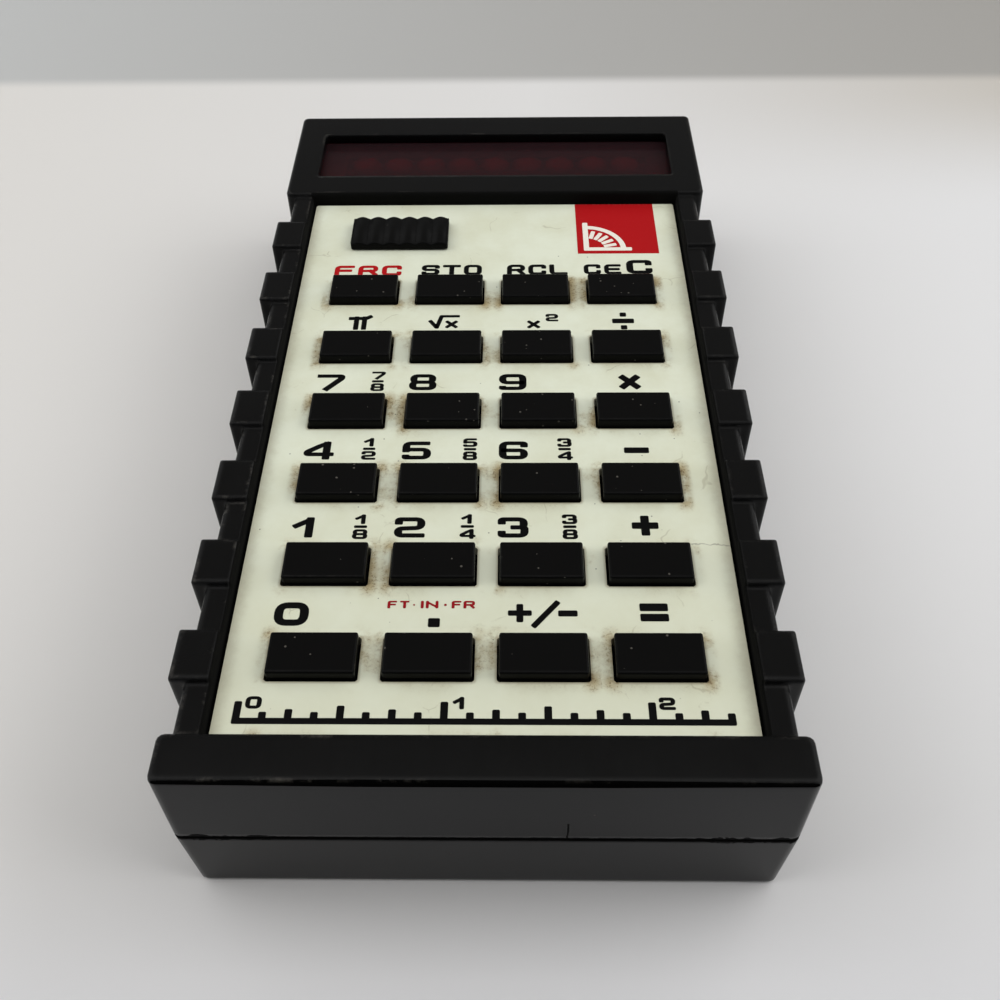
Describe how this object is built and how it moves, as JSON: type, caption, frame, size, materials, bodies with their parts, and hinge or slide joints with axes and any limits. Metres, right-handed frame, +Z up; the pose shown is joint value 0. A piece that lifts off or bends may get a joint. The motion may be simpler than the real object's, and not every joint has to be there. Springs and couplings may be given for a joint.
{
  "type": "pocket calculator",
  "caption": "Pocket calculator: ribbed black two-part case, ivory key panel with travelling keys, red display window, ribbed power slider and sliding battery door.",
  "frame": {"origin": "on the resting plane, under the middle of the case", "axes": "+Z up, +X to the right as the keys are read, +Y towards the display; -Y faces the user"},
  "size_m": [0.0782, 0.1478, 0.0281],
  "materials": {
    "case_black": "moulded ABS, fine satin",
    "key_black": "moulded ABS, satin",
    "panel_ivory": "printed plastic panel, satin, slightly yellowed",
    "window_red": "tinted acrylic, polished",
    "lens_clear": "clear moulded lens bar over red digits",
    "board_phenolic": "paper phenolic laminate",
    "sheet_polyester": "polyester sheet with domes",
    "chip_epoxy": "moulded epoxy",
    "steel": "zinc-plated steel",
    "battery_jacket": "printed steel jacket, bare of marks",
    "snap_vinyl": "vinyl-covered connector",
    "lead_red": "vinyl insulation",
    "lead_black": "vinyl insulation",
    "capacitor_sleeve": "shrunk vinyl sleeve",
    "ribbon_grey": "flat cable insulation"
  },
  "bodies": {
    "case": {"upper_case": "case_black", "lower_case": "case_black", "key_panel": "panel_ivory", "display_window": "window_red", "display_lens": "lens_clear", "display_board": "board_phenolic", "main_board": "board_phenolic", "contact_sheet": "sheet_polyester", "calculator_chip": "chip_epoxy", "driver_chip": "chip_epoxy", "supply_capacitor": "capacitor_sleeve", "display_ribbon": "ribbon_grey", "battery": "battery_jacket", "battery_snap": "snap_vinyl", "lead_red": "lead_red", "lead_black": "lead_black", "switch_body": "steel", "case_screw_1": "steel", "case_screw_2": "steel", "case_screw_3": "steel", "case_screw_4": "steel"},
    "key_0": {"key_0": "key_black"},
    "key_point": {"key_point": "key_black"},
    "key_sign": {"key_sign": "key_black"},
    "key_equals": {"key_equals": "key_black"},
    "key_1": {"key_1": "key_black"},
    "key_2": {"key_2": "key_black"},
    "key_3": {"key_3": "key_black"},
    "key_add": {"key_add": "key_black"},
    "key_4": {"key_4": "key_black"},
    "key_5": {"key_5": "key_black"},
    "key_6": {"key_6": "key_black"},
    "key_subtract": {"key_subtract": "key_black"},
    "key_7": {"key_7": "key_black"},
    "key_8": {"key_8": "key_black"},
    "key_9": {"key_9": "key_black"},
    "key_multiply": {"key_multiply": "key_black"},
    "key_pi": {"key_pi": "key_black"},
    "key_root": {"key_root": "key_black"},
    "key_square": {"key_square": "key_black"},
    "key_divide": {"key_divide": "key_black"},
    "key_fraction": {"key_fraction": "key_black"},
    "key_store": {"key_store": "key_black"},
    "key_recall": {"key_recall": "key_black"},
    "key_clear": {"key_clear": "key_black"},
    "switch_slider": {"switch_slider": "key_black"},
    "battery_door": {"battery_door": "case_black"}
  },
  "joints": [
    {"name": "key_0_press", "type": "slide", "parent": "case", "child": "key_0", "axis": [0, 0, -1], "range_m": [0, 0.0009], "stiffness_N_per_m": 600, "springref_m": -0.0004},
    {"name": "key_point_press", "type": "slide", "parent": "case", "child": "key_point", "axis": [0, 0, -1], "range_m": [0, 0.0009], "stiffness_N_per_m": 600, "springref_m": -0.0004},
    {"name": "key_sign_press", "type": "slide", "parent": "case", "child": "key_sign", "axis": [0, 0, -1], "range_m": [0, 0.0009], "stiffness_N_per_m": 600, "springref_m": -0.0004},
    {"name": "key_equals_press", "type": "slide", "parent": "case", "child": "key_equals", "axis": [0, 0, -1], "range_m": [0, 0.0009], "stiffness_N_per_m": 600, "springref_m": -0.0004},
    {"name": "key_1_press", "type": "slide", "parent": "case", "child": "key_1", "axis": [0, 0, -1], "range_m": [0, 0.0009], "stiffness_N_per_m": 600, "springref_m": -0.0004},
    {"name": "key_2_press", "type": "slide", "parent": "case", "child": "key_2", "axis": [0, 0, -1], "range_m": [0, 0.0009], "stiffness_N_per_m": 600, "springref_m": -0.0004},
    {"name": "key_3_press", "type": "slide", "parent": "case", "child": "key_3", "axis": [0, 0, -1], "range_m": [0, 0.0009], "stiffness_N_per_m": 600, "springref_m": -0.0004},
    {"name": "key_add_press", "type": "slide", "parent": "case", "child": "key_add", "axis": [0, 0, -1], "range_m": [0, 0.0009], "stiffness_N_per_m": 600, "springref_m": -0.0004},
    {"name": "key_4_press", "type": "slide", "parent": "case", "child": "key_4", "axis": [0, 0, -1], "range_m": [0, 0.0009], "stiffness_N_per_m": 600, "springref_m": -0.0004},
    {"name": "key_5_press", "type": "slide", "parent": "case", "child": "key_5", "axis": [0, 0, -1], "range_m": [0, 0.0009], "stiffness_N_per_m": 600, "springref_m": -0.0004},
    {"name": "key_6_press", "type": "slide", "parent": "case", "child": "key_6", "axis": [0, 0, -1], "range_m": [0, 0.0009], "stiffness_N_per_m": 600, "springref_m": -0.0004},
    {"name": "key_subtract_press", "type": "slide", "parent": "case", "child": "key_subtract", "axis": [0, 0, -1], "range_m": [0, 0.0009], "stiffness_N_per_m": 600, "springref_m": -0.0004},
    {"name": "key_7_press", "type": "slide", "parent": "case", "child": "key_7", "axis": [0, 0, -1], "range_m": [0, 0.0009], "stiffness_N_per_m": 600, "springref_m": -0.0004},
    {"name": "key_8_press", "type": "slide", "parent": "case", "child": "key_8", "axis": [0, 0, -1], "range_m": [0, 0.0009], "stiffness_N_per_m": 600, "springref_m": -0.0004},
    {"name": "key_9_press", "type": "slide", "parent": "case", "child": "key_9", "axis": [0, 0, -1], "range_m": [0, 0.0009], "stiffness_N_per_m": 600, "springref_m": -0.0004},
    {"name": "key_multiply_press", "type": "slide", "parent": "case", "child": "key_multiply", "axis": [0, 0, -1], "range_m": [0, 0.0009], "stiffness_N_per_m": 600, "springref_m": -0.0004},
    {"name": "key_pi_press", "type": "slide", "parent": "case", "child": "key_pi", "axis": [0, 0, -1], "range_m": [0, 0.0009], "stiffness_N_per_m": 600, "springref_m": -0.0004},
    {"name": "key_root_press", "type": "slide", "parent": "case", "child": "key_root", "axis": [0, 0, -1], "range_m": [0, 0.0009], "stiffness_N_per_m": 600, "springref_m": -0.0004},
    {"name": "key_square_press", "type": "slide", "parent": "case", "child": "key_square", "axis": [0, 0, -1], "range_m": [0, 0.0009], "stiffness_N_per_m": 600, "springref_m": -0.0004},
    {"name": "key_divide_press", "type": "slide", "parent": "case", "child": "key_divide", "axis": [0, 0, -1], "range_m": [0, 0.0009], "stiffness_N_per_m": 600, "springref_m": -0.0004},
    {"name": "key_fraction_press", "type": "slide", "parent": "case", "child": "key_fraction", "axis": [0, 0, -1], "range_m": [0, 0.0009], "stiffness_N_per_m": 600, "springref_m": -0.0004},
    {"name": "key_store_press", "type": "slide", "parent": "case", "child": "key_store", "axis": [0, 0, -1], "range_m": [0, 0.0009], "stiffness_N_per_m": 600, "springref_m": -0.0004},
    {"name": "key_recall_press", "type": "slide", "parent": "case", "child": "key_recall", "axis": [0, 0, -1], "range_m": [0, 0.0009], "stiffness_N_per_m": 600, "springref_m": -0.0004},
    {"name": "key_clear_press", "type": "slide", "parent": "case", "child": "key_clear", "axis": [0, 0, -1], "range_m": [0, 0.0009], "stiffness_N_per_m": 600, "springref_m": -0.0004},
    {"name": "power_switch", "type": "slide", "parent": "case", "child": "switch_slider", "axis": [1, 0, 0], "range_m": [0, 0.0044]},
    {"name": "battery_door_slide", "type": "slide", "parent": "case", "child": "battery_door", "axis": [0, 1, 0], "range_m": [0, 0.028]}
  ]
}
